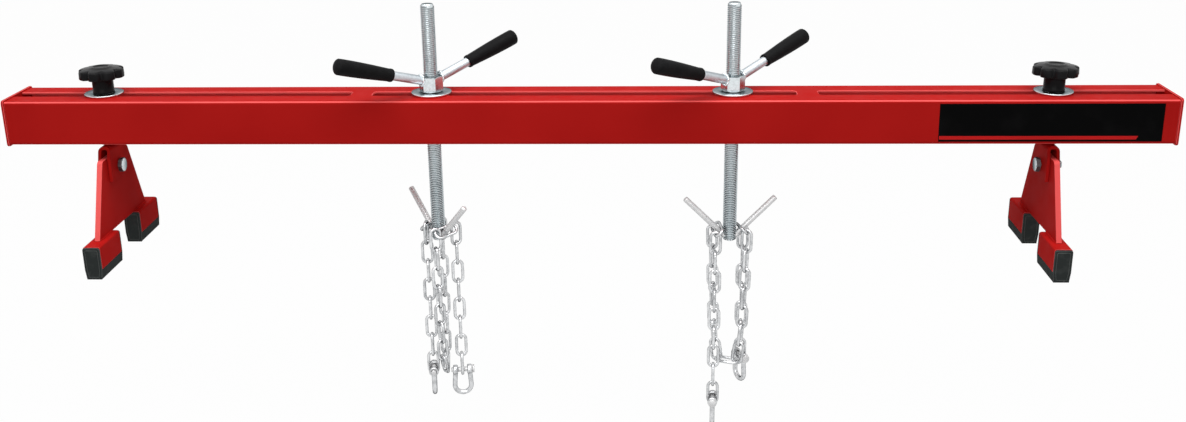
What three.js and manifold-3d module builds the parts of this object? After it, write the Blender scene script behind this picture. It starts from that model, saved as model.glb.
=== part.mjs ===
// Engine support bar: a slotted box beam on two rocking feet, with two lifting spindles and chains.
// Millimetres, +Z up, +X along the beam. The origin lies in the plane of the four soles, under the
// middle of the beam.

import * as THREE from 'three';
import { mergeVertices } from 'three/addons/utils/BufferGeometryUtils.js';
import Module from 'manifold-3d';

const wasm = await Module();
wasm.setup();

// Driving dimensions

const fit = {
  gap: 0.3,            // between pieces that touch
  bore: 0.3,           // radial, round a shaft or a screw
  overrun: 6,          // by which a cutting shape passes the faces that it cuts
  seam: 0.0001,        // points nearer than this are one point
};

const beam = {
  length: 1500,
  height: 58,
  depth: 80,
  wall: 3,
  cornerRadius: 4,
  underside: 163,      // above the soles
  slotWidth: 22,
  slotRadius: 5,       // of the corners at a slot's end
  centreSlotHalf: 275, // from the middle to the inner edge of each bridge
  bridge: 28,          // solid strip between two slots
};

const endPlate = {
  thickness: 3,
  proud: 1.8,          // all round the beam
};

const foot = {
  leftInset: 119,      // from the beam's end to the foot's middle
  rightInset: 148,
};

const knob = {
  headRadius: 29,
  lobeDepth: 4.5,
  rimHeight: 10.8,     // of the head's side
  crownHeight: 14.6,   // of the middle of its domed top
  edge: 1.5,
  draft: 0.9,          // by which the side leans in
  neckRadius: 13.6,
  neckHeight: 20,
};

const knobWasher = {
  radius: 24.5,
  thickness: 2.6,
};

const stud = {
  radius: 6,
  chamfer: 1,
  intoKnob: 26,        // from the washer's top
};

const spacer = {
  radius: 14.5,
  height: 7.7,         // from the beam to the bracket's crown
};

const bracket = {
  sheet: 4,
  bendRadius: 6.5,     // outside, at the crown
  crownHalf: 22,       // half length along Y at the crown
  skirtHalf: 27.5,     // half length along Y at the lower edge
  skirtHeight: 30,     // of the upright part of each cheek's ends
  height: 46.7,
};

const pivot = {
  belowBeam: 39,
  radius: 5,
  acrossFlats: 17,
  headHeight: 6.4,
  nutHeight: 8,
  tail: 3,             // thread that shows past the nut
};

const plate = {
  thickness: 7,
  sideGap: 0.5,        // to each cheek of the bracket
  abovePivot: 16.5,
  topHalf: 41,
  bottomHalf: 79,
  topRadius: 6,
};

const shoe = {
  height: 30.2,
  width: 22.5,
  sheet: 2,
  bendRadius: 3,
};

const pad = {
  sole: 13.8,          // rubber that shows under the shoe
  soleWidth: 19.6,
  edge: 1.2,           // bevel along the plug inside the shoe
  cap: 2.3,            // thickness of the rubber over each end of the shoe
  capReveal: 0.9,      // by which the caps stay below the shoe's top
  innerEnd: 33.5,      // from the middle of the beam to the pad's near end
  length: 68,
};

const spindle = {
  leftX: -198,
  rightX: 193,
  radius: 9,
  length: 320,
  bottom: 19,          // above the soles
  chamfer: 1.5,
};

const spindleWasher = {
  radius: 26,
  thickness: 3,
};

const spindleNut = {
  acrossFlats: 27,
  height: 20,
};

const handle = {
  radius: 6,
  axisHeight: 15.6,    // above the beam's top, where the two axes meet in the spindle
  gripStart: 60,       // along the handle, from the spindle's axis
  gripLength: 82,
  insideGrip: 58,
  weld: 1.2,           // depth to which the rod runs into the nut's face
  nearRadius: 8.3,
  farRadius: 10.4,
  rimRadius: 8.9,      // bead round the grip's mouth
  rimLength: 5,
};

const hook = {
  radius: 3.8,
  length: 85,          // from the spindle's axis to the tip
  chamfer: 0.8,
  rootHeight: 17.6,    // above the soles, where the two axes meet
};

const link = {
  wire: 4,
  inside: 27,          // length of the opening
  innerWidth: 9,
  bite: 0.6,           // by which the links of one run press into each other
  slack: 0.7,          // between a saddle link and a link that hangs on it
  saddleOut: 16.2,     // from the spindle's axis to each saddle link
};

const shackle = {
  wireRadius: 3.2,
  bowRadius: 11.4,     // of the wire's centre line
  bowDrop: 24,         // from the pin's axis to the bow's centre
  jaw: 13,
  eyeRadius: 6.6,
  pinRadius: 3.4,
  headRadius: 5.6,
  headThickness: 3,
  pinTail: 2,
};

// Angles, in degrees

const handleTilt = 17.2;
const hookTilt = 45;
const nutTurn = 30;
const handleTurn = 221;
const bowOverlap = 8 * Math.PI / 180; // by which a shackle's bow passes a half circle at each end

// Each spindle's pins and chain. A drop hangs from one end of the saddle link on hook pin 1 or -1,
// and the loop's ends from the other ends of both. lean turns a saddle link on its pin, the drop's
// end down and toward the spindle. slide tells where on the link's bow a run hangs, first and rest
// are the headings of the widths of its links, and shackle is that of its shackle's pin.
const spindles = [
  {
    name: 'left', x: spindle.leftX, hookTurn: 135,
    drops: [
      { name: 'a', hook: 1, lean: 0, links: 8, slide: -66, first: 82, rest: 98, shackle: 98 },
      { name: 'b', hook: -1, lean: -12, links: 8, slide: -6, first: 37, rest: 10, shackle: 10 },
    ],
    loop: { links: 16, slides: [-30, -24], first: 20 },
  },
  {
    name: 'right', x: spindle.rightX, hookTurn: 184,
    drops: [
      { name: 'a', hook: 1, lean: 8, links: 9, slide: 76, first: 180, rest: 176, shackle: 266 },
      { name: 'b', hook: -1, lean: 8, links: 7, slide: 76, first: 180, rest: 176, shackle: 297 },
    ],
    loop: { links: 15, slides: [80, 80], first: 156 },
  },
];

// Counts

const lobes = 8;
const bowPoints = 8;
const bowSteps = 14;
const halvings = 60;   // of the range in a search for a loop's slopes
const slopeBound = 64; // widest range of those slopes, as rise over run
const knobSides = 48;
const washerSides = 32;
const rodSides = 20;
const pinSides = 16;
const wireSides = 6;
const bowSides = 8;
const shackleSides = 8;
const cornerSides = 3;
const plateSides = 10;

// Materials

const paint = (color, roughness, metalness) => () =>
  new THREE.MeshStandardMaterial({ color, roughness, metalness });
const redPaint = paint(0xb01c1a, 0.35, 0);
const zinc = paint(0xb9bdc0, 0.32, 1);
const brightSteel = paint(0xd4d6d8, 0.22, 1);
const blackPlastic = paint(0x1b1b1c, 0.5, 0);
const blackRubber = paint(0x141516, 0.8, 0);

// Solids

function solid(geometry) {
  const bare = geometry.index ? geometry.toNonIndexed() : geometry.clone();
  for (const name of Object.keys(bare.attributes)) {
    if (name !== 'position') bare.deleteAttribute(name);
  }
  const merged = mergeVertices(bare, fit.seam);
  return new wasm.Manifold(new wasm.Mesh({
    numProp: 3,
    vertProperties: new Float32Array(merged.attributes.position.array),
    triVerts: new Uint32Array(merged.index.array),
  }));
}

function geometryOf(body) {
  const mesh = body.getMesh();
  const geometry = new THREE.BufferGeometry();
  geometry.setAttribute('position', new THREE.BufferAttribute(new Float32Array(mesh.vertProperties), 3));
  geometry.setIndex(new THREE.BufferAttribute(new Uint32Array(mesh.triVerts), 1));
  geometry.computeVertexNormals();
  return geometry;
}

function cut(geometry, ...tools) {
  return geometryOf(tools.reduce((body, tool) => body.subtract(solid(tool)), solid(geometry)));
}

function join(...parts) {
  return geometryOf(parts.map(solid).reduce((body, part) => body.add(part)));
}

function overlap(a, b) {
  return geometryOf(solid(a).intersect(solid(b)));
}

// Shapes

function box(x, y, z) {
  return new THREE.BoxGeometry(x, y, z);
}

function uprightCylinder(radius, low, high, sides) {
  return new THREE.CylinderGeometry(radius, radius, high - low, sides)
    .rotateX(Math.PI / 2)
    .translate(0, 0, (low + high) / 2);
}

function turned(profile, sides) {
  const points = profile.map(([r, z]) => new THREE.Vector2(r, z));
  return new THREE.LatheGeometry(points, sides).rotateX(Math.PI / 2);
}

function ring(inner, outer, low, high, sides) {
  return turned([[inner, low], [outer, low], [outer, high], [inner, high], [inner, low]], sides);
}

function roundedRectangle(width, height, radius) {
  const shape = new THREE.Shape();
  const x = width / 2;
  const y = height / 2;
  shape.moveTo(radius - x, -y);
  shape.lineTo(x - radius, -y);
  shape.absarc(x - radius, radius - y, radius, -Math.PI / 2, 0, false);
  shape.absarc(x - radius, y - radius, radius, 0, Math.PI / 2, false);
  shape.absarc(radius - x, y - radius, radius, Math.PI / 2, Math.PI, false);
  shape.absarc(radius - x, radius - y, radius, Math.PI, Math.PI * 1.5, false);
  shape.closePath();
  return shape;
}

function hexagon(acrossFlats) {
  const shape = new THREE.Shape();
  const corner = acrossFlats / Math.sqrt(3);
  for (let k = 0; k < 6; k++) {
    const angle = (k + 0.5) * Math.PI / 3;
    const x = corner * Math.cos(angle);
    const y = corner * Math.sin(angle);
    if (k === 0) shape.moveTo(x, y);
    else shape.lineTo(x, y);
  }
  shape.closePath();
  return shape;
}

function extruded(shape, low, high, curveSegments = cornerSides) {
  return new THREE.ExtrudeGeometry(shape, { depth: high - low, bevelEnabled: false, curveSegments })
    .translate(0, 0, low);
}

// Turns a shape drawn in X and Y and extruded along Z, so that it is drawn in Y and Z and extruded along X
function alongX(geometry) {
  return geometry.applyMatrix4(new THREE.Matrix4().makeBasis(
    new THREE.Vector3(0, 1, 0), new THREE.Vector3(0, 0, 1), new THREE.Vector3(1, 0, 0)));
}

// Turns a shape drawn in X and Y and extruded along Z, so that it is drawn in X and Z and extruded along Y
function alongY(geometry) {
  return geometry.applyMatrix4(new THREE.Matrix4().makeBasis(
    new THREE.Vector3(1, 0, 0), new THREE.Vector3(0, 0, 1), new THREE.Vector3(0, -1, 0)));
}

// The assembly

const model = new THREE.Group();

function add(parent, name, geometry, material, x = 0, y = 0, z = 0) {
  const mesh = new THREE.Mesh(geometry, material());
  mesh.name = name;
  mesh.position.set(x, y, z);
  parent.add(mesh);
  return mesh;
}

const beamTop = beam.underside + beam.height;
const beamMiddle = beam.underside + beam.height / 2;

// Beam

function makeBeam() {
  const tubeLength = beam.length - 2 * (endPlate.thickness + fit.gap);
  const section = roundedRectangle(beam.depth, beam.height, beam.cornerRadius);
  section.holes.push(roundedRectangle(
    beam.depth - 2 * beam.wall, beam.height - 2 * beam.wall, beam.cornerRadius - beam.wall));
  const tube = alongX(extruded(section, -tubeLength / 2, tubeLength / 2));
  const depth = beam.height / 2 + fit.overrun;
  const slot = (from, to) => extruded(
    roundedRectangle(to - from, beam.slotWidth, beam.slotRadius), -depth, depth)
    .translate((from + to) / 2, 0, 0);
  const outerStart = beam.centreSlotHalf + beam.bridge;
  const outerEnd = beam.length / 2 + beam.slotWidth;
  add(model, 'bar_tube', cut(
    tube,
    slot(-beam.centreSlotHalf, beam.centreSlotHalf),
    slot(outerStart, outerEnd),
    slot(-outerEnd, -outerStart),
  ), redPaint, 0, 0, beamMiddle);

  const outline = roundedRectangle(
    beam.depth + 2 * endPlate.proud, beam.height + 2 * endPlate.proud, beam.cornerRadius);
  for (const [name, side] of [['left_end_plate', -1], ['right_end_plate', 1]]) {
    const slab = alongX(extruded(outline, -endPlate.thickness / 2, endPlate.thickness / 2));
    add(model, name, slab, redPaint, side * (beam.length - endPlate.thickness) / 2, 0, beamMiddle);
  }
}

// Feet

// Body of lobed rings stacked along Z; each ring is a radius, a share of the lobes' depth and a height
function lobed(rings) {
  const positions = [[0, 0, rings[0][2]]];
  const triangles = [];
  const count = knobSides;
  rings.forEach(([radius, lobeShare, z]) => {
    for (let k = 0; k < count; k++) {
      const angle = 2 * Math.PI * k / count;
      const valleyShare = ((1 - Math.cos(lobes * angle)) / 2) ** 3;
      const r = radius - knob.lobeDepth * lobeShare * valleyShare;
      positions.push([r * Math.cos(angle), r * Math.sin(angle), z]);
    }
  });
  const top = positions.push([0, 0, rings.at(-1)[2]]) - 1;
  for (let k = 0; k < count; k++) {
    const next = (k + 1) % count;
    triangles.push(0, 1 + next, 1 + k);
    for (let level = 0; level < rings.length - 1; level++) {
      const low = 1 + level * count;
      const high = low + count;
      triangles.push(low + k, low + next, high + next, low + k, high + next, high + k);
    }
    triangles.push(top, top - count + k, top - count + next);
  }
  const geometry = new THREE.BufferGeometry();
  geometry.setAttribute('position', new THREE.Float32BufferAttribute(positions.flat(), 3));
  geometry.setIndex(triangles);
  return geometry;
}

function makeKnob() {
  const base = knob.neckHeight;
  const rim = knob.headRadius - knob.draft;
  const rise = knob.crownHeight - knob.rimHeight;
  const head = lobed([
    [knob.headRadius - knob.edge, 1, base],
    [knob.headRadius, 1, base + knob.edge],
    [rim, 1, base + knob.rimHeight - knob.edge],
    [rim - knob.edge, 1, base + knob.rimHeight],
    [rim * 3 / 4, 1 / 2, base + knob.rimHeight + rise * 5 / 12],
    [rim / 2, 0, base + knob.rimHeight + rise * 3 / 4],
    [rim / 4, 0, base + knob.crownHeight],
  ]);
  const neck = uprightCylinder(knob.neckRadius, 0, base + knob.rimHeight / 2, washerSides);
  const bore = uprightCylinder(
    stud.radius + fit.bore, -fit.overrun, stud.intoKnob + fit.gap, rodSides);
  return cut(join(head, neck), bore);
}

function makeBracket() {
  const width = plate.thickness + 2 * plate.sideGap + 2 * bracket.sheet;
  const legs = roundedRectangle(width, 2 * bracket.height, bracket.bendRadius);
  legs.holes.push(roundedRectangle(
    width - 2 * bracket.sheet, 2 * (bracket.height - bracket.sheet), bracket.bendRadius - bracket.sheet));
  const folded = alongY(extruded(legs, -bracket.skirtHalf, bracket.skirtHalf));
  const side = new THREE.Shape([
    new THREE.Vector2(-bracket.skirtHalf, 0),
    new THREE.Vector2(bracket.skirtHalf, 0),
    new THREE.Vector2(bracket.skirtHalf, bracket.skirtHeight),
    new THREE.Vector2(bracket.crownHalf, bracket.height + fit.gap),
    new THREE.Vector2(-bracket.crownHalf, bracket.height + fit.gap),
    new THREE.Vector2(-bracket.skirtHalf, bracket.skirtHeight),
  ]);
  const keep = alongX(extruded(side, -width, width));
  const pivotHeight = bracket.height + spacer.height - pivot.belowBeam;
  const studHole = uprightCylinder(
    stud.radius + fit.bore, bracket.height / 2, bracket.height + fit.overrun, rodSides);
  const pivotHole = uprightCylinder(pivot.radius + fit.bore, -width, width, rodSides)
    .rotateY(Math.PI / 2)
    .translate(0, 0, pivotHeight);
  return cut(overlap(folded, keep), studHole, pivotHole);
}

function makePlate(top, bottom) {
  const run = (plate.bottomHalf - plate.topHalf) / (top - bottom);
  const shoulder = Math.atan(run);
  const radius = plate.topRadius;
  const centreY = plate.topHalf - radius * Math.tan(Math.PI / 4 - shoulder / 2);
  const shape = new THREE.Shape();
  shape.moveTo(-plate.bottomHalf, bottom);
  shape.lineTo(plate.bottomHalf, bottom);
  shape.absarc(centreY, top - radius, radius, shoulder, Math.PI / 2, false);
  shape.absarc(-centreY, top - radius, radius, Math.PI / 2, Math.PI - shoulder, false);
  shape.closePath();
  const hole = new THREE.Path();
  hole.absarc(0, 0, pivot.radius + fit.bore, 0, 2 * Math.PI, true);
  shape.holes.push(hole);
  return alongX(extruded(shape, -plate.thickness / 2, plate.thickness / 2, plateSides));
}

function makeShoe() {
  const outline = roundedRectangle(shoe.width, 2 * shoe.height, shoe.bendRadius);
  const inside = roundedRectangle(
    shoe.width - 2 * shoe.sheet, 2 * (shoe.height - shoe.sheet), shoe.bendRadius - shoe.sheet);
  outline.holes.push(inside);
  const reach = pad.length / 2 - pad.cap - fit.gap;
  const channel = alongY(extruded(outline, -reach, reach));
  const lower = box(2 * shoe.width, 2 * pad.length, 2 * shoe.height).translate(0, 0, -shoe.height);
  return cut(channel, lower);
}

function makePad() {
  const half = shoe.width / 2;
  const inner = half - shoe.sheet - fit.gap;
  const top = pad.sole + shoe.height - shoe.sheet - fit.gap;
  const capTop = pad.sole + shoe.height - pad.capReveal;
  const corner = shoe.bendRadius;
  const plug = new THREE.Shape([
    new THREE.Vector2(-pad.soleWidth / 2, 0),
    new THREE.Vector2(pad.soleWidth / 2, 0),
    new THREE.Vector2(half, pad.sole - fit.gap),
    new THREE.Vector2(inner, pad.sole - fit.gap),
    new THREE.Vector2(inner, top - pad.edge),
    new THREE.Vector2(inner - pad.edge, top),
    new THREE.Vector2(pad.edge - inner, top),
    new THREE.Vector2(-inner, top - pad.edge),
    new THREE.Vector2(-inner, pad.sole - fit.gap),
    new THREE.Vector2(-half, pad.sole - fit.gap),
  ]);
  const face = new THREE.Shape();
  face.moveTo(-pad.soleWidth / 2, 0);
  face.lineTo(pad.soleWidth / 2, 0);
  face.lineTo(half, pad.sole - fit.gap);
  face.absarc(half - corner, capTop - corner, corner, 0, Math.PI / 2, false);
  face.absarc(corner - half, capTop - corner, corner, Math.PI / 2, Math.PI, false);
  face.lineTo(-half, pad.sole - fit.gap);
  face.closePath();
  const reach = pad.length / 2;
  return join(
    alongY(extruded(plug, -reach + pad.cap / 2, reach - pad.cap / 2)),
    alongY(extruded(face, -reach, -reach + pad.cap)),
    alongY(extruded(face, reach - pad.cap, reach)));
}

// inward is 1 or -1, toward the middle of the beam
function makeFoot(name, x, inward) {
  const group = new THREE.Group();
  group.position.set(x, 0, 0);
  model.add(group);

  const washerTop = beamTop + fit.gap + knobWasher.thickness;
  const crownTop = beam.underside - spacer.height;
  const crownInside = crownTop - bracket.sheet;
  const pivotHeight = beam.underside - pivot.belowBeam;
  const shoeTop = pad.sole + shoe.height;

  add(group, `${name}_star_knob`, makeKnob(), blackPlastic, 0, 0, washerTop + fit.gap);
  add(group, `${name}_knob_washer`,
    ring(stud.radius + fit.bore, knobWasher.radius, 0, knobWasher.thickness, washerSides),
    zinc, 0, 0, beamTop + fit.gap);
  const studLength = washerTop + stud.intoKnob - crownInside;
  add(group, `${name}_stud`, turned([
    [0, 0], [stud.radius, 0], [stud.radius, studLength - stud.chamfer],
    [stud.radius - stud.chamfer, studLength], [0, studLength],
  ], pinSides), zinc, 0, 0, crownInside);
  add(group, `${name}_spacer`,
    ring(stud.radius + fit.bore, spacer.radius, 0, spacer.height - 2 * fit.gap, washerSides),
    redPaint, 0, 0, crownTop + fit.gap);
  add(group, `${name}_bracket`, makeBracket(), redPaint, 0, 0, crownTop - bracket.height);

  const bracketHalf = plate.thickness / 2 + plate.sideGap + bracket.sheet;
  const nutEnd = bracketHalf + fit.gap + pivot.nutHeight;
  const shank = uprightCylinder(
    pivot.radius, -nutEnd - pivot.tail, bracketHalf + fit.gap + pivot.headHeight / 2, pinSides);
  const head = extruded(hexagon(pivot.acrossFlats),
    bracketHalf + fit.gap, bracketHalf + fit.gap + pivot.headHeight);
  const nut = cut(
    extruded(hexagon(pivot.acrossFlats), -nutEnd, -bracketHalf - fit.gap),
    uprightCylinder(pivot.radius + fit.bore, -nutEnd - fit.overrun, 0, pinSides));
  const acrossX = inward * Math.PI / 2;
  add(group, `${name}_pivot_bolt`, join(shank, head).rotateY(acrossX), zinc, 0, 0, pivotHeight);
  add(group, `${name}_pivot_nut`, nut.rotateY(acrossX), zinc, 0, 0, pivotHeight);

  add(group, `${name}_foot_plate`,
    makePlate(plate.abovePivot, shoeTop + fit.gap - pivotHeight), redPaint, 0, 0, pivotHeight);
  for (const [end, side] of [['front', -1], ['rear', 1]]) {
    const y = side * (pad.innerEnd + pad.length / 2);
    add(group, `${name}_${end}_shoe`, makeShoe(), redPaint, 0, y, pad.sole);
    add(group, `${name}_${end}_pad`, makePad(), blackRubber, 0, y, 0);
  }
}

// Chain links

const linkBend = (link.innerWidth + link.wire) / 2;
const linkStraight = (link.inside - link.innerWidth) / 2;

function makeLink() {
  const bow = new THREE.TorusGeometry(linkBend, link.wire / 2, wireSides, bowSides)
    .rotateZ(Math.PI / bowSides);
  const flatShare = Math.cos(Math.PI / bowSides);
  bow.scale(1 / flatShare, 1 / flatShare, 1);
  const position = bow.attributes.position;
  for (let k = 0; k < position.count; k++) {
    const x = position.getX(k);
    position.setX(k, x + Math.sign(x) * linkStraight);
  }
  return solid(bow);
}

const plainLink = makeLink();

// A link, its length along t and its width along w, centred on c
function placedLink(c, t, w) {
  const across = w.clone().addScaledVector(t, -w.dot(t)).normalize();
  const normal = new THREE.Vector3().crossVectors(t, across);
  return plainLink.transform(new THREE.Matrix4().makeBasis(t, across, normal).setPosition(c).elements);
}

function fused(links) {
  return geometryOf(links.reduce((run, next) => run.add(next)));
}

const down = new THREE.Vector3(0, 0, -1);
const step = link.inside + link.bite;

function heading(degrees) {
  const angle = THREE.MathUtils.degToRad(degrees);
  return new THREE.Vector3(Math.cos(angle), Math.sin(angle), 0);
}

// Straight run of links that hangs from the contact point top
function hangingRun(top, count, firstHeading, restHeading) {
  const links = [];
  for (let k = 0; k < count; k++) {
    const centre = top.clone().addScaledVector(down, link.inside / 2 + k * step);
    const turn = k === 0 ? firstHeading : restHeading + 90 * k;
    links.push(placedLink(centre, down, heading(turn)));
  }
  return links;
}

// Where a rising function passes a value, between two bounds
function crossing(f, value, low, high) {
  let from = low;
  let to = high;
  for (let k = 0; k < halvings; k++) {
    const middle = (from + to) / 2;
    if (f(middle) > value) to = middle;
    else from = middle;
  }
  return (from + to) / 2;
}

// Evenly loaded chain: the slope grows by the same grade from link to link, about a tilt in the
// middle. Both are found so that the links reach as far, and rise as much, as the other end.
function loopSlopes(reach, rise, count) {
  const slope = (grade, tilt, k) => Math.atan(grade * (k - (count - 1) / 2) + tilt);
  const total = (part, grade, tilt) => {
    let sum = 0;
    for (let k = 0; k < count; k++) sum += step * part(slope(grade, tilt, k));
    return sum;
  };
  const tiltOf = (grade) => crossing((tilt) => total(Math.sin, grade, tilt), rise, -slopeBound, slopeBound);
  const grade = crossing((g) => -total(Math.cos, g, tiltOf(g)), -reach, 0, slopeBound);
  return Array.from({ length: count }, (_, k) => slope(grade, tiltOf(grade), k));
}

// The links' widths turn by about a right angle from link to link, so that both ends turn alike
function hangingLoop(from, to, count, firstHeading) {
  const across = new THREE.Vector3().subVectors(to, from);
  const rise = across.z;
  across.z = 0;
  const slopes = loopSlopes(across.length(), rise, count);
  across.normalize();
  const normal = new THREE.Vector3().crossVectors(across, down);
  const firstTurn = Math.atan2(across.y, across.x) - THREE.MathUtils.degToRad(firstHeading);
  const excess = -2 * firstTurn - (count - 1) * Math.PI / 2;
  const twist = Math.PI / 2 + (excess - Math.PI * Math.round(excess / Math.PI)) / (count - 1);
  const joint = from.clone();
  return slopes.map((slope, k) => {
    const t = across.clone().multiplyScalar(Math.cos(slope)).addScaledVector(down, -Math.sin(slope));
    const angle = firstTurn + k * twist;
    const w = new THREE.Vector3().crossVectors(normal, t)
      .multiplyScalar(Math.cos(angle))
      .addScaledVector(normal, Math.sin(angle));
    const centre = joint.clone().addScaledVector(t, step / 2);
    joint.addScaledVector(t, step);
    return placedLink(centre, t, w);
  });
}

// Shackle with its pin along X, hanging from the pin's axis

function makeShackle() {
  const legX = shackle.jaw / 2 + shackle.wireRadius;
  const sweep = Math.PI + 2 * bowOverlap;
  const points = [new THREE.Vector3(-legX, 0, 0)];
  for (let k = 0; k <= bowPoints; k++) {
    const angle = Math.PI - bowOverlap + sweep * k / bowPoints;
    points.push(new THREE.Vector3(
      shackle.bowRadius * Math.cos(angle), 0, shackle.bowRadius * Math.sin(angle) - shackle.bowDrop));
  }
  points.push(new THREE.Vector3(legX, 0, 0));
  const section = new THREE.Shape();
  for (let k = 0; k < shackleSides; k++) {
    const angle = 2 * Math.PI * k / shackleSides;
    const x = shackle.wireRadius * Math.cos(angle);
    const y = shackle.wireRadius * Math.sin(angle);
    if (k === 0) section.moveTo(x, y);
    else section.lineTo(x, y);
  }
  section.closePath();
  const bow = new THREE.ExtrudeGeometry(section, {
    steps: bowSteps,
    bevelEnabled: false,
    extrudePath: new THREE.CatmullRomCurve3(points),
  });
  const eyes = [-1, 1].map((side) =>
    uprightCylinder(shackle.eyeRadius, -shackle.wireRadius, shackle.wireRadius, pinSides)
      .rotateY(Math.PI / 2)
      .translate(side * legX, 0, 0));
  const bore = uprightCylinder(
    shackle.pinRadius + fit.bore, -2 * legX, 2 * legX, pinSides).rotateY(Math.PI / 2);
  return cut(join(bow, ...eyes), bore);
}

function makeShacklePin() {
  const face = shackle.jaw / 2 + 2 * shackle.wireRadius + 2 * fit.gap;
  const pin = turned([
    [0, -face - shackle.pinTail],
    [shackle.pinRadius, -face - shackle.pinTail],
    [shackle.pinRadius, face],
    [shackle.headRadius, face],
    [shackle.headRadius, face + shackle.headThickness],
    [0, face + shackle.headThickness],
  ], pinSides);
  return pin.rotateY(Math.PI / 2);
}

// Spindles

function makeSpindle(side) {
  const group = new THREE.Group();
  group.position.set(side.x, 0, 0);
  model.add(group);

  const rodTop = spindle.bottom + spindle.length;
  const chamferRadius = spindle.radius - spindle.chamfer;
  add(group, `${side.name}_threaded_rod`, turned([
    [0, spindle.bottom],
    [chamferRadius, spindle.bottom],
    [spindle.radius, spindle.bottom + spindle.chamfer],
    [spindle.radius, rodTop - spindle.chamfer],
    [chamferRadius, rodTop],
    [0, rodTop],
  ], rodSides), zinc);

  add(group, `${side.name}_spindle_washer`,
    ring(spindle.radius + fit.bore, spindleWasher.radius, 0, spindleWasher.thickness, washerSides),
    zinc, 0, 0, beamTop + fit.gap);

  const nutBase = beamTop + spindleWasher.thickness + 2 * fit.gap;
  const nutTop = nutBase + spindleNut.height;
  const axisHeight = beamTop + handle.axisHeight;
  const tilt = THREE.MathUtils.degToRad(handleTilt);
  const turns = [['near', handleTurn], ['far', handleTurn + 180]];
  const insideNut = extruded(hexagon(spindleNut.acrossFlats - 2 * handle.weld), 0, rodTop)
    .rotateZ(THREE.MathUtils.degToRad(nutTurn));
  const bars = turns.map(([, turn]) => cut(
    uprightCylinder(handle.radius, 0, handle.gripStart + handle.insideGrip, rodSides)
      .rotateY(Math.PI / 2 - tilt)
      .rotateZ(THREE.MathUtils.degToRad(turn))
      .translate(0, 0, axisHeight),
    insideNut));
  const hexagonBody = extruded(hexagon(spindleNut.acrossFlats), nutBase, nutTop)
    .rotateZ(THREE.MathUtils.degToRad(nutTurn));
  const nutBore = uprightCylinder(spindle.radius + fit.bore, 0, rodTop, rodSides);
  add(group, `${side.name}_spindle_nut`, cut(join(hexagonBody, ...bars), nutBore), zinc);

  const bore = handle.radius + fit.bore;
  const dome = handle.farRadius / 2;
  const profile = [
    [bore, 0],
    [handle.rimRadius, 0],
    [handle.rimRadius, handle.rimLength],
    [handle.nearRadius, handle.rimLength],
    [handle.farRadius, handle.gripLength - 2 * dome],
    [handle.farRadius, handle.gripLength - dome],
  ];
  for (const angle of [Math.PI / 5, Math.PI / 3, Math.PI * 0.43]) {
    profile.push([
      handle.farRadius * Math.cos(angle), handle.gripLength - dome * (1 - Math.sin(angle))]);
  }
  profile.push([0, handle.gripLength], [0, handle.insideGrip + fit.gap], [bore, handle.insideGrip + fit.gap]);
  profile.push([bore, 0]);
  for (const [name, turn] of turns) {
    const grip = turned(profile, rodSides)
      .translate(0, 0, handle.gripStart)
      .rotateY(Math.PI / 2 - tilt)
      .rotateZ(THREE.MathUtils.degToRad(turn));
    add(group, `${side.name}_${name}_grip`, grip, blackRubber, 0, 0, axisHeight);
  }

  const hookAngle = THREE.MathUtils.degToRad(hookTilt);
  const rodSpace = uprightCylinder(
    spindle.radius + fit.gap, -spindle.length, spindle.length, rodSides);
  for (const [name, hookSide] of [['a', 1], ['b', -1]]) {
    const turn = THREE.MathUtils.degToRad(side.hookTurn) + (hookSide < 0 ? Math.PI : 0);
    const pin = turned([
      [0, 0],
      [hook.radius, 0],
      [hook.radius, hook.length - hook.chamfer],
      [hook.radius - hook.chamfer, hook.length],
      [0, hook.length],
    ], pinSides).rotateY(Math.PI / 2 - hookAngle);
    add(group, `${side.name}_hook_pin_${name}`,
      cut(pin, rodSpace).rotateZ(turn), brightSteel, 0, 0, hook.rootHeight);
  }

  // Saddle links, one on each pin, square to it and resting on it
  const saddles = {};
  for (const { name, hook: hookSide, lean } of side.drops) {
    const out = heading(side.hookTurn).multiplyScalar(hookSide);
    const up = out.clone()
      .multiplyScalar(-Math.sin(hookAngle))
      .addScaledVector(down, -Math.cos(hookAngle));
    const pinWay = out.clone()
      .multiplyScalar(Math.cos(hookAngle))
      .addScaledVector(down, -Math.sin(hookAngle));
    const turn = THREE.MathUtils.degToRad(lean);
    const along = heading(side.hookTurn + 90).multiplyScalar(hookSide * Math.cos(turn))
      .addScaledVector(pinWay, -Math.sin(turn));
    const centre = out.clone().multiplyScalar(link.saddleOut)
      .addScaledVector(down, -hook.rootHeight - link.saddleOut * Math.tan(hookAngle))
      .addScaledVector(up, hook.radius + fit.gap - link.innerWidth / 2);
    saddles[hookSide] = { centre, up, along };
    add(group, `${side.name}_saddle_link_${name}`, fused([placedLink(centre, along, up)]), zinc);
  }

  // Inside of the upper bend of a link that hangs on a saddle link's bow with its width along w,
  // at end 1, the drop's, or -1
  const contact = (hookSide, end, slide, w) => {
    const { centre, up, along } = saddles[hookSide];
    const angle = THREE.MathUtils.degToRad(slide);
    const wire = up.clone().multiplyScalar(-Math.cos(angle)).addScaledVector(along, -end * Math.sin(angle));
    const leanShare = Math.abs(new THREE.Vector3().crossVectors(wire, w).normalize().z);
    return centre.clone()
      .addScaledVector(along, end * (linkStraight + linkBend * Math.cos(angle)))
      .addScaledVector(up, -linkBend * Math.sin(angle))
      .addScaledVector(down, link.wire / 2 - (link.wire + link.slack) / leanShare);
  };

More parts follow.
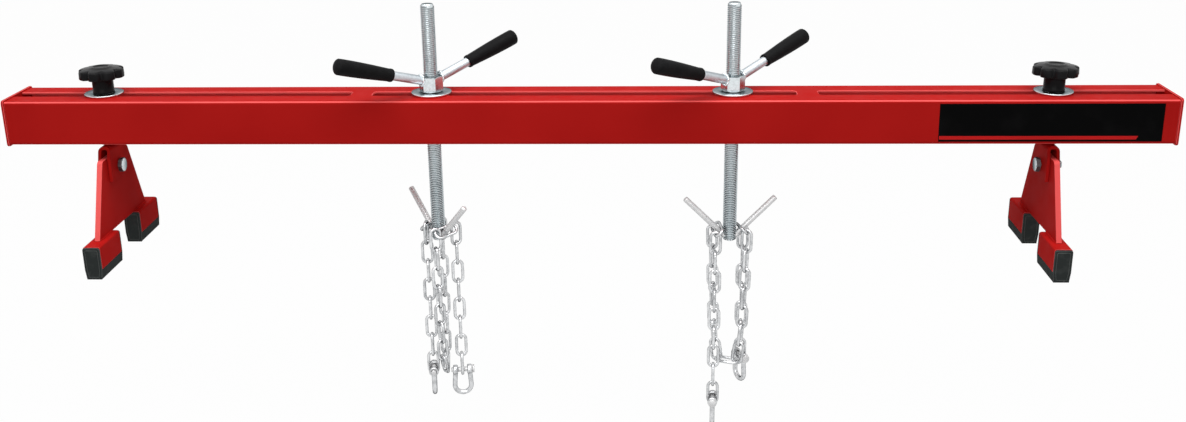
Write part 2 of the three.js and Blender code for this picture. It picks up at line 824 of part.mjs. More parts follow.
  for (const drop of side.drops) {
    const top = contact(drop.hook, 1, drop.slide, heading(drop.first));
    add(group, `${side.name}_chain_drop_${drop.name}`,
      fused(hangingRun(top, drop.links, drop.first, drop.rest)), zinc);
    const inside = drop.links * step - link.bite;
    const pinAxis = top.clone().addScaledVector(down, inside - shackle.pinRadius - fit.gap);
    const turn = THREE.MathUtils.degToRad(drop.shackle);
    add(group, `${side.name}_shackle_${drop.name}`, makeShackle().rotateZ(turn), zinc, ...pinAxis);
    add(group, `${side.name}_shackle_pin_${drop.name}`,
      makeShacklePin().rotateZ(turn), brightSteel, ...pinAxis);
  }
  const { links, slides, first } = side.loop;
  const from = contact(1, -1, slides[0], heading(first));
  const to = contact(-1, -1, slides[1], heading(first));
  add(group, `${side.name}_chain_loop`, fused(hangingLoop(from, to, links, first)), zinc);
}

makeBeam();
makeFoot('left', foot.leftInset - beam.length / 2, 1);
makeFoot('right', beam.length / 2 - foot.rightInset, -1);
spindles.forEach(makeSpindle);

export default model;
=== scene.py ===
from math import atan, atan2, cos, degrees, pi, radians, sin, sqrt, tan

import bmesh
import bpy
from mathutils import Matrix, Vector


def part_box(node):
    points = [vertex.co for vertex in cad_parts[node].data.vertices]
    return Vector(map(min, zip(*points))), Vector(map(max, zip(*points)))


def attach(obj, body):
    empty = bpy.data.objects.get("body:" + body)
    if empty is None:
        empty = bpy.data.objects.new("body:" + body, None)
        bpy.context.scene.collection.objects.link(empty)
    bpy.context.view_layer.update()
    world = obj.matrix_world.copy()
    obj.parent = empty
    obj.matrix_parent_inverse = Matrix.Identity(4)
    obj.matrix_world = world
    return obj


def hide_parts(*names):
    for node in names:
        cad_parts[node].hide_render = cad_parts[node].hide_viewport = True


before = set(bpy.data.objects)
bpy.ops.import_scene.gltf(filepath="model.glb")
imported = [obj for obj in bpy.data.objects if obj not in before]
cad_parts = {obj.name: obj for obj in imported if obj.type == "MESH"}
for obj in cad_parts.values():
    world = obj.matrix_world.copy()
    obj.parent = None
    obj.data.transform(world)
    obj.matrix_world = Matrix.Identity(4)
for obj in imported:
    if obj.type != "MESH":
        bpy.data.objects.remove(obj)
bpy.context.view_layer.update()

scene = bpy.context.scene
quarter = pi / 2
down = Vector((0, 0, -1))
gap = 0.0003   # between parts that move on each other

cameraSettings = {
    "place": (0.0723, -1.5725, 0.6278),
    "pitch": 17.759, "yaw": 2.219, "roll": -0.6875,   # degrees, the first one down
    "lens": 37.98, "sensor": 36, "shiftY": -0.0392, "clipEnd": 50,
}


def addObject(name, data):
    item = bpy.data.objects.new(name, data)
    scene.collection.objects.link(item)
    return item


def meshFrom(name, bm):
    mesh = bpy.data.meshes.new(name)
    bm.to_mesh(mesh)
    bm.free()
    return mesh


def turned(angle, axis):
    return Matrix.Rotation(radians(angle), 4, axis)


def makeCamera(s):
    data = bpy.data.cameras.new("photoCamera")
    data.sensor_width, data.lens = s["sensor"], s["lens"]
    data.shift_y = s["shiftY"]
    data.clip_end = s["clipEnd"]
    scene.camera = addObject("photoCamera", data)
    turn = turned(s["yaw"], "Z") @ turned(90 - s["pitch"], "X") @ turned(s["roll"], "Z")
    scene.camera.matrix_world = Matrix.Translation(s["place"]) @ turn


makeCamera(cameraSettings)
print("camera placed")


def newMaterial(name):
    material = bpy.data.materials.new(name)
    material.use_nodes = True
    return material, material.node_tree, material.node_tree.nodes["Principled BSDF"]


def put(value, socket):
    if isinstance(value, bpy.types.NodeSocket):
        socket.id_data.links.new(value, socket)
    else:
        socket.default_value = value


def pattern(tree, kind, scale):
    where = tree.nodes.new("ShaderNodeTexCoord")
    node = tree.nodes.new(kind)
    node.inputs["Scale"].default_value = scale   # repeats per metre
    tree.links.new(where.outputs["Object"], node.inputs["Vector"])
    return node


def noise(tree, scale, detail=3, rough=0.5):
    node = pattern(tree, "ShaderNodeTexNoise", scale)
    node.inputs["Detail"].default_value = detail
    node.inputs["Roughness"].default_value = rough
    return node.outputs["Fac"]


def cells(tree, scale):
    return pattern(tree, "ShaderNodeTexVoronoi", scale).outputs["Distance"]


def calculated(tree, operation, a, b):
    node = tree.nodes.new("ShaderNodeMath")
    node.operation = operation
    put(a, node.inputs[0])
    put(b, node.inputs[1])
    return node.outputs[0]


def ranged(tree, value, low, high, fromLow=0.3, fromHigh=0.7):
    node = tree.nodes.new("ShaderNodeMapRange")
    limits = {"From Min": fromLow, "From Max": fromHigh, "To Min": low, "To Max": high}
    for socket, limit in limits.items():
        node.inputs[socket].default_value = limit
    tree.links.new(value, node.inputs["Value"])
    return node.outputs["Result"]


def blended(tree, factor, a, b):
    node = tree.nodes.new("ShaderNodeMix")
    node.data_type = "RGBA"
    tree.links.new(factor, node.inputs["Factor"])
    for socket, colour in ((node.inputs[6], a), (node.inputs[7], b)):
        put(colour if isinstance(colour, bpy.types.NodeSocket) else (*colour, 1), socket)
    return node.outputs[2]


def bump(tree, height, distance, strength, under=None):
    node = tree.nodes.new("ShaderNodeBump")
    node.inputs["Strength"].default_value = strength
    node.inputs["Distance"].default_value = distance
    tree.links.new(height, node.inputs["Height"])
    if under is not None:
        tree.links.new(under, node.inputs["Normal"])
    return node.outputs["Normal"]


def mixedShaders(tree, factor, first, second, output):
    mix = tree.nodes.new("ShaderNodeMixShader")
    tree.links.new(factor, mix.inputs["Fac"])
    tree.links.new(first.outputs[0], mix.inputs[1])
    tree.links.new(second.outputs[0], mix.inputs[2])
    tree.links.new(mix.outputs[0], tree.nodes[output].inputs["Surface"])


paintColours = {"red": (0.470, 0.0125, 0.0108), "deepRed": (0.425, 0.0106, 0.0094), "specular": 0.004}
# painted highlight: the lighter red of edges and of the beam's inside
highlightColours = {"red": (0.90, 0.125, 0.120), "deepRed": (0.82, 0.100, 0.098), "specular": 0.03}
stripeColours = {"red": (0.62, 0.012, 0.012), "deepRed": (0.50, 0.010, 0.010), "specular": 0.1}

paintSettings = {
    "cloudScale": 9,
    "speckScale": 260, "speckFrom": (0.56, 0.74), "speckShare": 0.22,
    "glossScale": 60, "roughness": (0.34, 0.46),
    "peelScale": 420, "peelDepth": 0.00012, "peelStrength": 0.55,
    "gritScale": 2400, "gritDepth": 0.00002, "gritStrength": 0.5,
}


def makePaint(name, colours, s):
    material, tree, shader = newMaterial(name)
    cloud = ranged(tree, noise(tree, s["cloudScale"], detail=2), 0, 1)
    tone = blended(tree, cloud, colours["deepRed"], colours["red"])
    speck = ranged(tree, noise(tree, s["speckScale"], detail=4), 0, s["speckShare"], *s["speckFrom"])
    put(blended(tree, speck, tone, colours["deepRed"]), shader.inputs["Base Color"])
    put(ranged(tree, noise(tree, s["glossScale"]), *s["roughness"]), shader.inputs["Roughness"])
    peel = bump(tree, noise(tree, s["peelScale"], detail=2), s["peelDepth"], s["peelStrength"])
    grit = bump(tree, noise(tree, s["gritScale"], detail=2), s["gritDepth"], s["gritStrength"], peel)
    put(grit, shader.inputs["Normal"])
    shader.inputs["Specular IOR Level"].default_value = colours["specular"]
    return material


zincSettings = {
    "light": (0.76, 0.81, 0.83), "dark": (0.62, 0.67, 0.69),
    "roughness": (0.20, 0.27), "metallic": 1,
    "rim": (0.10, 0.12, 0.13),   # reflection at a glancing angle
    "grainDepth": 0.000012, "grainScale": 1500, "grainStrength": 0.5,
    "patchScale": 260, "patchFrom": (0.12, 0.50), "patchShare": 0.8, "cloudScale": 70,
}

shadedZincSettings = {   # painted shade: darker, rougher zinc for the roots and lower flanks of the threads and the flats of hex heads and nuts
    **zincSettings,
    "light": (0.19, 0.22, 0.23), "dark": (0.14, 0.165, 0.175), "roughness": (0.36, 0.48),
}

handleZincSettings = {
    **zincSettings,
    "light": (0.62, 0.66, 0.69), "dark": (0.50, 0.54, 0.57), "roughness": (0.44, 0.54),
}

brightSettings = {
    **zincSettings,
    "light": (0.80, 0.80, 0.80), "dark": (0.66, 0.67, 0.68),
    "roughness": (0.34, 0.40), "rim": (0.12, 0.12, 0.13), "metallic": 0.45, "grainDepth": 0.0000008,
}


def finishSteel(tree, shader, s, tone, cloud):
    put(blended(tree, tone, s["light"], s["dark"]), shader.inputs["Base Color"])
    put(ranged(tree, cloud, *s["roughness"]), shader.inputs["Roughness"])
    grain = bump(tree, noise(tree, s["grainScale"]), s["grainDepth"], s["grainStrength"])
    put(grain, shader.inputs["Normal"])
    shader.inputs["Metallic"].default_value = s["metallic"]
    shader.inputs["Specular Tint"].default_value = (*s["rim"], 1)


def makeZinc(name, s):
    material, tree, shader = newMaterial(name)
    cloud = noise(tree, s["cloudScale"], detail=4, rough=0.6)
    patches = calculated(tree, "MULTIPLY", cells(tree, s["patchScale"]), cloud)
    finishSteel(tree, shader, s, ranged(tree, patches, 0, s["patchShare"], *s["patchFrom"]), cloud)
    return material


chainSettings = {
    "light": (0.80, 0.81, 0.82), "dark": (0.43, 0.44, 0.45),
    "roughness": (0.14, 0.24), "rim": (0.01, 0.01, 0.01), "metallic": 1,
    "grainDepth": 0.00008, "grainScale": 700, "grainStrength": 0.5,
    "cloudScale": 160, "cloudFrom": (0.40, 0.68), "cloudShare": 0.7,
    "linkShare": 0.35,   # each link has its own tone
}


def makeChainSteel(name, s):
    material, tree, shader = newMaterial(name)
    islands = tree.nodes.new("ShaderNodeNewGeometry")
    cloud = noise(tree, s["cloudScale"], detail=4, rough=0.6)
    tone = ranged(tree, cloud, 0, s["cloudShare"], *s["cloudFrom"])
    own = ranged(tree, islands.outputs["Random Per Island"], 0, s["linkShare"], 0, 1)
    finishSteel(tree, shader, s, calculated(tree, "ADD", tone, own), cloud)
    return material


wearSettings = {
    "wornFrom": (0.48, 0.78), "wornShare": 0.8, "grainStrength": 0.6, "pebbleStrength": 0.35,
    "pebbleScale": 3,   # times the grain's
}

plasticSettings = {
    "black": (0.0085, 0.0085, 0.0090), "worn": (0.017, 0.0166, 0.0176),
    "roughness": (0.24, 0.36), "specular": 0.06,
    "grainScale": 900, "grainDepth": 0.00004, "wearScale": 45,
}

gripSettings = {
    "black": (0.0075, 0.0075, 0.0079), "worn": (0.016, 0.016, 0.017),
    "roughness": (0.46, 0.66), "specular": 0.05,
    "grainScale": 1300, "grainDepth": 0.00005, "wearScale": 60,
}

padSettings = {
    "black": (0.030, 0.035, 0.034), "worn": (0.060, 0.066, 0.064),
    "roughness": (0.62, 0.85), "specular": 0.04,
    "grainScale": 600, "grainDepth": 0.00012, "wearScale": 90,
}

padHighlightSettings = {   # painted highlight on the pads' chamfered caps and end rims
    **padSettings,
    "black": (0.085, 0.092, 0.090), "worn": (0.150, 0.158, 0.155), "grainDepth": 0.00008,
}

filmSettings = {
    "black": (0.0030, 0.0030, 0.0031), "worn": (0.0060, 0.0058, 0.0060),
    "roughness": (0.45, 0.55), "specular": 0.01,
    "grainScale": 300, "grainDepth": 0.00001, "wearScale": 30,
}


def makeBlack(name, s, wearing):
    material, tree, shader = newMaterial(name)
    wear = noise(tree, s["wearScale"], detail=5, rough=0.6)
    tone = ranged(tree, wear, 0, wearing["wornShare"], *wearing["wornFrom"])
    put(blended(tree, tone, s["black"], s["worn"]), shader.inputs["Base Color"])
    put(ranged(tree, wear, *s["roughness"]), shader.inputs["Roughness"])
    coarse = bump(tree, noise(tree, s["grainScale"]), s["grainDepth"], wearing["grainStrength"])
    pebbles = cells(tree, s["grainScale"] * wearing["pebbleScale"])
    fine = bump(tree, pebbles, s["grainDepth"] / wearing["pebbleScale"], wearing["pebbleStrength"], coarse)
    put(fine, shader.inputs["Normal"])
    shader.inputs["Specular IOR Level"].default_value = s["specular"]
    return material


redPaint = makePaint("redPaint", paintColours, paintSettings)
highlightPaint = makePaint("highlightPaint", highlightColours, paintSettings)   # painted highlight: lighter red on cut and folded edges, and painted light inside the beam
labelRed = makePaint("labelRed", stripeColours, paintSettings)
zincPlate = makeZinc("zincPlate", zincSettings)
shadedZinc = makeZinc("shadedZinc", shadedZincSettings)
handleZinc = makeZinc("handleZinc", handleZincSettings)
brightBar = makeZinc("brightBar", brightSettings)
chainSteel = makeChainSteel("chainSteel", chainSettings)
blackPlastic = makeBlack("blackPlastic", plasticSettings, wearSettings)
gripRubber = makeBlack("gripRubber", gripSettings, wearSettings)
padRubber = makeBlack("padRubber", padSettings, wearSettings)
padHighlight = makeBlack("padHighlight", padHighlightSettings, wearSettings)
labelBlack = makeBlack("labelBlack", filmSettings, wearSettings)
secondMaterials = {"redPaint": highlightPaint, "zincPlate": shadedZinc, "padRubber": padHighlight}   # slot 1: painted highlight for paint and rubber, painted shade for zinc
print("materials made")


def outward(bm):
    bmesh.ops.recalc_face_normals(bm, faces=bm.faces)
    return bm


def finishPiece(name, bm, material, body, nodes=(), angle=60, flat=False):
    mesh = meshFrom(name, outward(bm))
    mesh.shade_smooth()
    mesh.set_sharp_from_angle(angle=radians(angle))
    mesh.materials.append(material)
    if material.name in secondMaterials:
        mesh.materials.append(secondMaterials[material.name])
    piece = addObject(name, mesh)
    if flat:   # large faces keep their own normal, so that only the edges round off
        weighted = piece.modifiers.new("flatFaces", "WEIGHTED_NORMAL")
        weighted.keep_sharp = True
        weighted.weight = 100
    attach(piece, body)
    if nodes:
        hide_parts(*nodes)


def painted(name, bm, body, *nodes):
    finishPiece(name, bm, redPaint, body, nodes, flat=True)


def place(bm, matrix):
    bmesh.ops.transform(bm, matrix=matrix, verts=bm.verts)
    return bm


def shift(x, y, z):
    return Matrix.Translation((x, y, z))


def merge(target, *others):
    for other in others:
        mesh = meshFrom("part", other)
        target.from_mesh(mesh)
        bpy.data.meshes.remove(mesh)
    return target


def around(k, count):
    return 2 * pi * k / count


def onCircle(radius, angle, z):
    return radius * cos(angle), radius * sin(angle), z


def bridge(bm, low, high):
    for k in range(len(low)):
        n = (k + 1) % len(low)
        bm.faces.new((low[k], low[n], high[n], high[k]))


def wrap(bm, loops, closed):
    for low, high in zip(loops, loops[1:]):
        bridge(bm, low, high)
    if closed:
        bridge(bm, loops[-1], loops[0])
    else:
        bm.faces.new(loops[0][::-1])
        bm.faces.new(loops[-1])
    return bm


def lathe(profile, sides):
    bm = bmesh.new()
    rings = []
    for radius, z in profile:
        count = sides if radius > 0 else 1
        rings.append([bm.verts.new(onCircle(radius, around(k, sides), z)) for k in range(count)])
    for low, high in zip(rings, rings[1:]):
        for k in range(sides):
            n = (k + 1) % sides
            corners = (low[k % len(low)], low[n % len(low)], high[n % len(high)], high[k % len(high)])
            unique = list(dict.fromkeys(corners))
            if len(unique) > 2:
                bm.faces.new(unique)
    return bm


def ringProfile(inner, outer, low, high, edge=0.0005, cut=0.3):
    lower = [
        (inner, low + edge), (inner + edge, low), (outer - edge, low), (outer - edge * cut, low + edge * cut),
        (outer, low + edge)]
    return lower + [(r, low + high - z) for r, z in reversed(lower)] + lower[:1]


def cylinder(radius, low, high, sides):
    return lathe([(0, low), (radius, low), (radius, high), (0, high)], sides)


def frames(points, closed):
    count = len(points)
    tangents = []
    for k in range(count):
        before = points[k - 1] if k or closed else points[0]
        after = points[(k + 1) % count] if k < count - 1 or closed else points[-1]
        tangents.append((after - before).normalized())
    side = tangents[0].orthogonal().normalized()
    sides = []
    for k in range(count):
        if k:
            side = tangents[k - 1].rotation_difference(tangents[k]) @ side
        side = (side - tangents[k] * side.dot(tangents[k])).normalized()
        sides.append(side)
    return tangents, sides


def sweep(points, radii, sides, closed=False, side=None):
    bm = bmesh.new()
    tangents, firsts = frames(points, closed)
    rings = []
    for k, point in enumerate(points):
        a = firsts[k] if side is None else (side - tangents[k] * side.dot(tangents[k])).normalized()
        b = tangents[k].cross(a)
        spokes = (onCircle(radii[k], around(j, sides), 0) for j in range(sides))
        rings.append([bm.verts.new(point + u * a + v * b) for u, v, w in spokes])
    return wrap(bm, rings, closed)


def arc(centre, radius, start, end, steps):
    turns = (start + (end - start) * k / steps for k in range(steps + 1))
    return [(centre[0] + radius * cos(turn), centre[1] + radius * sin(turn)) for turn in turns]


def roundedOutline(width, height, radius, steps=8):
    x, y = width / 2 - radius, height / 2 - radius
    points = []
    for k, centre in enumerate(((x, y), (-x, y), (-x, -y), (x, -y))):
        points += arc(centre, radius, k * quarter, (k + 1) * quarter, steps)
    return points


def prism(outline, low, high, axis="Z"):
    bm = bmesh.new()
    turn = {
        "Z": lambda u, v, w: (u, v, w),
        "X": lambda u, v, w: (w, u, v),
        "Y": lambda u, v, w: (u, -w, v),
    }[axis]
    bottom = [bm.verts.new(turn(u, v, low)) for u, v in outline]
    top = [bm.verts.new(turn(u, v, high)) for u, v in outline]
    bm.faces.new(bottom)
    bm.faces.new(top)
    bridge(bm, bottom, top)
    return outward(bm)


def chamferEdges(bm, width, segments=2, above=60, slot=-1):
    sharp = [e for e in bm.edges if len(e.link_faces) == 2 and degrees(e.calc_face_angle(0)) > above]
    bmesh.ops.bevel(
        bm, geom=sharp, offset=width, segments=segments, affect="EDGES", profile=0.5, clamp_overlap=True,
        material=slot)
    return bm


def cleaned(bm, distance):
    bmesh.ops.remove_doubles(bm, verts=bm.verts, dist=distance)
    bmesh.ops.dissolve_limit(bm, angle_limit=radians(1), verts=bm.verts, edges=bm.edges)
    return bm


def carved(bm, *cutters):
    items = [addObject("carving", meshFrom("carving", source)) for source in (bm, *cutters)]
    for tool in items[1:]:
        step = items[0].modifiers.new("cut", "BOOLEAN")
        step.operation = "DIFFERENCE"
        step.solver = "EXACT"
        step.object = tool
    result = bpy.data.meshes.new_from_object(items[0].evaluated_get(bpy.context.evaluated_depsgraph_get()))
    out = bmesh.new()
    out.from_mesh(result)
    for item in items:
        data = item.data
        bpy.data.objects.remove(item)
        bpy.data.meshes.remove(data)
    bpy.data.meshes.remove(result)
    return cleaned(out, 1e-6)


def fromNode(name):
    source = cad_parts[name]
    bm = bmesh.new()
    bm.from_mesh(source.data)
    bm.transform(source.matrix_world)
    return cleaned(bm, 2e-6)


def heights(node):
    return [corner[2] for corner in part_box(node)]


def weldRing(radius, reach, slope, bead, ripples, count, sides):
    angles = [around(k, count) for k in range(count)]
    path = [Vector(onCircle(radius, angle, reach + slope * cos(angle))) for angle in angles]
    radii = [bead * (1 + sum(share * sin(k * rate) for share, rate in ripples)) for k in range(count)]
    return sweep(path, radii, sides, closed=True)


beamSettings = {
    "length": 1.5, "depth": 0.080, "height": 0.058, "underside": 0.163,
    "corner": 0.004, "wall": 0.003, "endPlate": 0.003, "proud": 0.0018, "plateEdge": 0.0006,
    "slotWidth": 0.022, "slotCorner": 0.005, "centreSlot": 0.275, "bridge": 0.028, "punchedEdge": 0.0007,
    "overrun": 0.01,        # of the cutters
    "insideFrom": 0.001,    # below the outer faces, where the lighter paint begins: painted light inside the tube
    "insideTop": 0.0002,
}
beamTop = beamSettings["underside"] + beamSettings["height"]


def makeBeam(s):
    middle = s["underside"] + s["height"] / 2
    half = s["length"] / 2 - s["endPlate"]
    outer = prism(roundedOutline(s["depth"], s["height"], s["corner"]), -half, half, "X")
    bore = s["depth"] - 2 * s["wall"], s["height"] - 2 * s["wall"], s["corner"] - s["wall"]
    inner = prism(roundedOutline(*bore, steps=3), -half - s["overrun"], half + s["overrun"], "X")
    reach = s["height"] / 2 + s["overrun"]
    outerStart = s["centreSlot"] + s["bridge"]
    outerEnd = s["length"] / 2 + 3 * s["overrun"]
    slots = []
    for start, end in ((-s["centreSlot"], s["centreSlot"]), (outerStart, outerEnd), (-outerEnd, -outerStart)):
        outline = roundedOutline(end - start, s["slotWidth"], s["slotCorner"], steps=6)
        slots.append(prism([(u + (start + end) / 2, v) for u, v in outline], -reach, reach))
    # its chamfers get the lighter paint, a painted highlight
    tube = chamferEdges(carved(outer, inner, *slots), s["punchedEdge"], above=50, slot=1)
    skin = s["insideFrom"]
    inside = half - skin, s["depth"] / 2 - skin, s["height"] / 2 - s["insideTop"]
    # the folded corner along the front of the top, the slots' cut edges and the inside get the lighter paint:
    # a painted highlight on the corner and the cut edges, painted light inside the tube
    for face in tube.faces:
        spot = face.calc_center_median()
        folded = face.normal.y < -0.5 and face.normal.z > 0.5
        if folded or all(abs(spot[k]) < inside[k] for k in range(3)):
            face.material_index = 1
    painted("beam", place(tube, shift(0, 0, middle)), "bar", "bar_tube")

    outline = roundedOutline(s["depth"] + 2 * s["proud"], s["height"] + 2 * s["proud"], s["corner"])
    for name, sign in (("left", -1), ("right", 1)):
        low, high = sorted((sign * s["length"] / 2, sign * half))
        # its chamfers get the lighter paint, a painted highlight
        plate = chamferEdges(prism(outline, low, high, "X"), s["plateEdge"], segments=3, above=40, slot=1)
        painted(name + "EndPlate", place(plate, shift(0, 0, middle)), "bar", name + "_end_plate")


makeBeam(beamSettings)
print("beam made")

labelSettings = {   # plain panel and stripe, x and z on the front
    "panel": ((0.4505, 0.1669), (0.7292, 0.1669), (0.7288, 0.2164), (0.4498, 0.2164)),
    "stripe": ((0.4515, 0.1696), (0.6970, 0.1696), (0.6993, 0.1743), (0.4515, 0.1743)),
    "film": 0.00015,
}


def makeLabel(s):
    front = beamSettings["depth"] / 2
    panel = prism(s["panel"], front, front + s["film"], "Y")
    finishPiece("labelPanel", panel, labelBlack, "bar", angle=32)
    stripe = prism(s["stripe"], front + s["film"], front + 2 * s["film"], "Y")
    finishPiece("labelStripe", stripe, labelRed, "bar", angle=32)


makeLabel(labelSettings)
print("label made")

knobSettings = {
    "radius": 0.029, "lobes": 8, "lobeDepth": 0.0045, "neck": 0.0136,
    "base": 0.020,       # underside of the head, above the knob's foot
    "rim": 0.0108,       # heights above that underside
    "bore": 0.0063, "boreDepth": 0.0263, "boreEdge": 0.0005, "sides": 192, "neckSides": 64,
    "skirt": (           # inset from the radius, share of the lobes, height
        (0.0150, 0, 0), (0.0060, 0.9, -0.0001), (0.0016, 1, 0), (0.0005, 1, 0.0005), (0, 1, 0.0016),
        (0.0004, 1, 0.0092), (0.0007, 1, 0.0102), (0.0014, 1, 0.0108)),
    "dome": ((0.0032, 0.95), (0.0062, 0.72), (0.0098, 0.40), (0.0140, 0.12)),   # inset, share of the lobes
    "domeTop": 0.0140, "domeInset": 0.0014, "domePower": 0.8,
    "crownRing": (       # inset, height
        (0.0172, 0.0145), (0.0184, 0.0146), (0.0196, 0.0142), (0.0206, 0.0134), (0.0260, 0.0132)),
    "neckFoot": ((-0.0006, 0), (0, 0.0006), (0, 0.0025), (-0.0003, 0.0029)),   # out from the neck, height
    "neckHead": ((-0.0003, -0.0015), (0.0003, -0.0004), (0.0012, 0.0001), (0.0012, 0.002)),
}


def makeKnob(side, x, s):
    bm = bmesh.new()
    radius, base = s["radius"], s["base"]
    rings = [*s["skirt"], *((inset, share, None) for inset, share in s["dome"])]
    rings += [(inset, 0, height) for inset, height in s["crownRing"]]
    loops = []
    for inset, share, height in rings:
        loop = []
        for k in range(s["sides"]):
            angle = around(k, s["sides"])
            valley = ((1 - cos(s["lobes"] * angle)) / 2) ** 3
            reach = radius - inset - s["lobeDepth"] * share * valley
            z = height
            if z is None:   # the top is one dome, whose edge the lobes cut
                fall = (1 - (reach / (radius - s["domeInset"])) ** 2) ** s["domePower"]
                z = s["rim"] + (s["domeTop"] - s["rim"]) * fall
            loop.append(bm.verts.new(onCircle(reach, angle, base + z)))
        loops.append(loop)
    for low, high in zip(loops, loops[1:]):
        bridge(bm, low, high)
    bm.faces.new(loops[-1])
    profile = [(s["bore"], s["boreDepth"]), (s["bore"], s["boreEdge"]), (s["bore"] + s["boreEdge"], 0)]
    profile += [(s["neck"] + out, height) for out, height in s["neckFoot"]]
    profile += [(s["neck"] + out, base + height) for out, height in s["neckHead"]]
    merge(bm, lathe(profile, s["neckSides"]))
    place(bm, shift(x, 0, heights(side + "_star_knob")[0]))
    node = side + "_star_knob"
    finishPiece(side + "StarKnob", bm, blackPlastic, side + "_knob", [node], angle=40)


def makeWasher(name, node, body, x, inner, outer):
    bm = lathe(ringProfile(inner, outer, *heights(node)), sides=96)
    finishPiece(name, place(bm, shift(x, 0, 0)), zincPlate, body, [node], angle=50)


threadSettings = {
    "profile": ((0.00, 0), (0.18, 0), (0.47, 1), (0.60, 1), (0.92, 0)),   # shares of pitch and depth
    "shaded": (2, 3),       # spans of the profile that are the root and its lower flank, painted in shade
    "core": 0.9,          # share of the depth at which the core lies
    "tipFace": 0.5,       # shares of the tip
    "tipStart": 0.7, "tipEnd": 0.2,
}


def threadedRod(radius, pitch, low, high, depth, sides, tip):
    t = threadSettings
    bm = bmesh.new()
    total = int((high - low - 2 * tip) / pitch * sides)
    columns = []
    for k in range(total + 1):
        start = low + tip + pitch * k / sides - pitch
        columns.append([
            bm.verts.new(onCircle(radius - depth * dip, around(k, sides), start + share * pitch))
            for share, dip in t["profile"]])
    for k in range(total):
        for j in range(len(t["profile"]) - 1):
            face = bm.faces.new((columns[k][j], columns[k + 1][j], columns[k + 1][j + 1], columns[k][j + 1]))
            # painted shade on the root and its lower flank
            face.material_index = int(j in t["shaded"])
        if k + sides < total:
            above, beyond = columns[k + sides:k + sides + 2]
            bm.faces.new((columns[k][-1], columns[k + 1][-1], beyond[0], above[0]))
    face, core, edge = radius - depth - tip * t["tipFace"], radius - depth * t["core"], tip * t["tipStart"]
    inner = lathe(
        [(0, low), (face, low), (core, low + edge), (core, high - edge), (face, high), (0, high)], sides)
    for vert in bm.verts:
        vert.co.z = min(max(vert.co.z, low + tip * t["tipEnd"]), high - tip * t["tipEnd"])
        ends = min(vert.co.z - low, high - vert.co.z)
        limit = radius - depth + depth * ends / tip
        if ends < tip and vert.co.xy.length > limit:
            vert.co.xy = vert.co.xy * (limit / vert.co.xy.length)
    return merge(bm, inner)


hexSettings = {
    "sides": 72,
    "coneStart": 0.97,   # share of the flats' distance at which the corners begin to fall
    "coneSlope": tan(radians(30)),
    "face": 0.95, "boreEdge": 0.0007,
}


def hexBody(acrossFlats, low, high, bore=0, turn=0):
    s = hexSettings
    flat, sixth = acrossFlats / 2, pi / 3
    angles = [around(k, s["sides"]) for k in range(s["sides"])]
    corners = [flat / cos(min(angle % sixth, sixth - angle % sixth)) for angle in angles]
    cuts = [(corner - flat * s["coneStart"]) * s["coneSlope"] for corner in corners]
    face = flat * s["face"]
    rings = [
        [(face, low)] * s["sides"], [(corner, low + cut) for corner, cut in zip(corners, cuts)],
        [(corner, high - cut) for corner, cut in zip(corners, cuts)], [(face, high)] * s["sides"]]
    if bore:
        edge = s["boreEdge"]
        rings = [
            [(bore, low + edge)] * s["sides"], [(bore + edge, low)] * s["sides"], *rings,
            [(bore + edge, high)] * s["sides"], [(bore, high - edge)] * s["sides"]]
    bm = bmesh.new()
    loops = [[bm.verts.new(onCircle(r, turn + a, z)) for (r, z), a in zip(ring, angles)] for ring in rings]
    return wrap(bm, loops, bore > 0)


def shadedFlats(bm):
    for face in outward(bm).faces:   # painted shade on the flats, so that only the end faces catch the light
        face.material_index = int(abs(face.normal.z) <= 0.9)
    return bm


footSettings = {
    "washer": 0.0245, "spacer": 0.0145, "pivotHeight": 0.124,
    "stud": 0.006, "studPitch": 0.00175, "studThread": 0.0009, "studTip": 0.001,
    "sheet": 0.004,        # of the bracket
    "inside": 0.008,       # between its cheeks
    "bend": 0.0065, "crownTop": 0.1553, "lowerEdge": 0.1086,
    "skirt": 0.030,        # upright part of the cheeks' ends
    "crownHalf": 0.022, "skirtHalf": 0.0275, "bracketEdge": 0.0005, "plateEdge": 0.0006,
    "flats": 0.017, "head": 0.0064, "headLift": 0.0005,
    "collar": 0.0080, "collarHeight": 0.0006, "nut": 0.0080, "tail": 0.0030,
    "bolt": 0.005, "boltPitch": 0.0015, "boltThread": 0.0007, "boltTip": 0.0008, "shankLap": 0.003,
    "threadLap": 0.004,    # of the thread's end into the nut
    "shoeWidth": 0.0225, "shoeHeight": 0.0302, "shoeSheet": 0.002, "shoeBend": 0.003, "shoeEdge": 0.0003,
    "weld": 0.0015, "weldAside": 0.0034, "weldRise": 0.0002, "weldStart": 0.001, "weldEnd": 0.078,
    "padEnds": (0.0335, 0.1015), "sole": 0.0138, "soleWidth": 0.0196, "soleEdge": 0.0007, "soleFlare": 0.0001,
    "cap": 0.0023, "capReveal": 0.0009, "capEdge": 0.0005, "ridgeInset": 0.0032,
    "ridge": 0.0004,       # low rim on each end face, where the rubber runs over the steel
    "ridgeOut": 0.7,       # share of the ridge by which it stands out of the cap
}


def channelOutline(width, height, sheet, bend, steps=6, least=0.0004):
    outer, inner = width / 2, width / 2 - sheet
    small = max(bend - sheet, least)
    points = [(outer, 0)]
    points += arc((outer - bend, height - bend), bend, 0, quarter, steps)
    points += arc((bend - outer, height - bend), bend, quarter, 2 * quarter, steps)
    points += [(-outer, 0), (-inner, 0)]
    points += arc((small - inner, height - sheet - small), small, 2 * quarter, quarter, steps)
    points += arc((inner - small, height - sheet - small), small, quarter, 0, steps)
    return points + [(inner, 0)]


